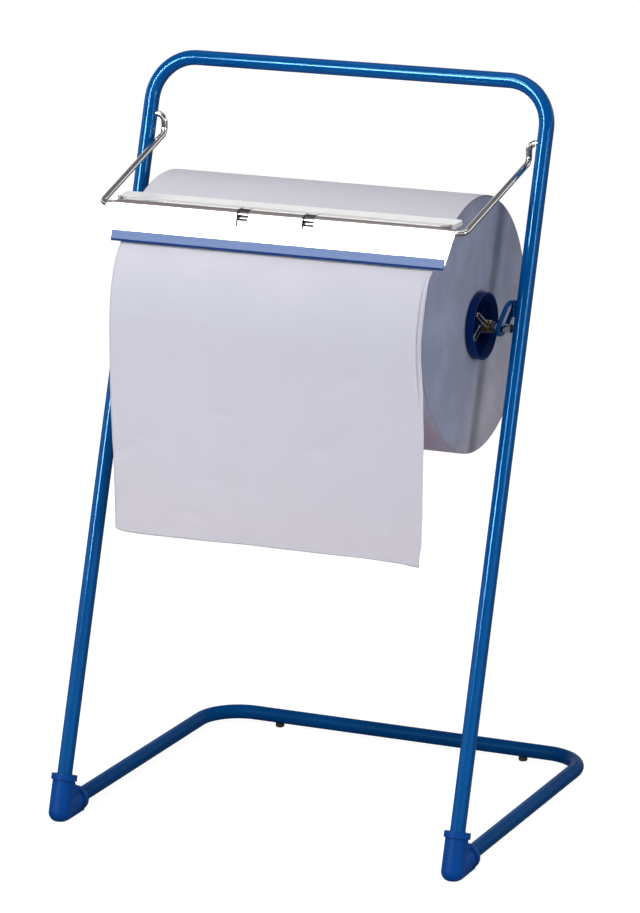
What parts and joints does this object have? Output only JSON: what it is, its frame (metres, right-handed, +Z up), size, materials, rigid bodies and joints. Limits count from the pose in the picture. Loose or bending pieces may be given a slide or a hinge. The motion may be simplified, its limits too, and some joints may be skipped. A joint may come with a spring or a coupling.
{
  "type": "paper roll floor stand",
  "caption": "Leaning tubular floor stand for a wide paper roll, with a swing-down tear plate, a level base, a removable axle and spring-clipped centring cones.",
  "frame": {"origin": "on the floor in the middle of the stand's outline", "axes": "+Z up, +X to the right of someone facing the stand, +Y to the rear, away from the tear plate"},
  "size_m": [0.5116, 0.4364, 0.8443],
  "materials": {
    "frame_blue": "gloss powder coat",
    "elbow_blue": "satin moulded plastic",
    "pad_rubber": "matt",
    "wire_chrome": "bright",
    "plate_white": "gloss",
    "strip_blue": "satin",
    "axle_chrome": "bright",
    "cap_black": "satin",
    "cone_blue": "satin moulded plastic",
    "clip_metal": "yellow zinc",
    "washer_zinc": "bright",
    "core_card": "matt card",
    "paper": "matt paper",
    "paper_loose": "matt paper"
  },
  "bodies": {
    "stand": {"upper_frame": "frame_blue", "base_frame": "frame_blue", "left_foot_elbow": "elbow_blue", "right_foot_elbow": "elbow_blue", "left_rear_pad": "pad_rubber", "right_rear_pad": "pad_rubber", "left_axle_eye": "frame_blue", "right_axle_eye": "frame_blue", "paper_web": "paper_loose"},
    "bail": {"bail_wire": "wire_chrome"},
    "plate": {"tear_plate": "plate_white", "tear_edge_strip": "strip_blue"},
    "roll": {"axle_rod": "axle_chrome", "left_axle_cap": "cap_black", "right_axle_cap": "cap_black", "roll_core": "core_card", "paper_roll": "paper"},
    "left_cone_unit": {"left_cone": "cone_blue", "left_spring_clip": "clip_metal", "left_washer": "washer_zinc"},
    "right_cone_unit": {"right_cone": "cone_blue", "right_spring_clip": "clip_metal", "right_washer": "washer_zinc"}
  },
  "joints": [
    {"name": "bail_swing", "type": "hinge", "parent": "stand", "child": "bail", "pos_m": [0, 0.04093, 0.77192], "axis": [-1, 0, 0], "range_deg": [0, 125]},
    {"name": "plate_tilt", "type": "hinge", "parent": "bail", "child": "plate", "pos_m": [0, -0.12937, 0.70042], "axis": [1, 0, 0], "range_deg": [-1.5, 1.5]},
    {"name": "roll_spin", "type": "hinge", "parent": "stand", "child": "roll", "pos_m": [0, -0.0222, 0.57646], "axis": [1, 0, 0], "continuous": true},
    {"name": "left_cone_slide", "type": "slide", "parent": "roll", "child": "left_cone_unit", "axis": [-1, 0, 0], "range_m": [0, 0.0045]},
    {"name": "right_cone_slide", "type": "slide", "parent": "roll", "child": "right_cone_unit", "axis": [1, 0, 0], "range_m": [0, 0.0045]}
  ]
}
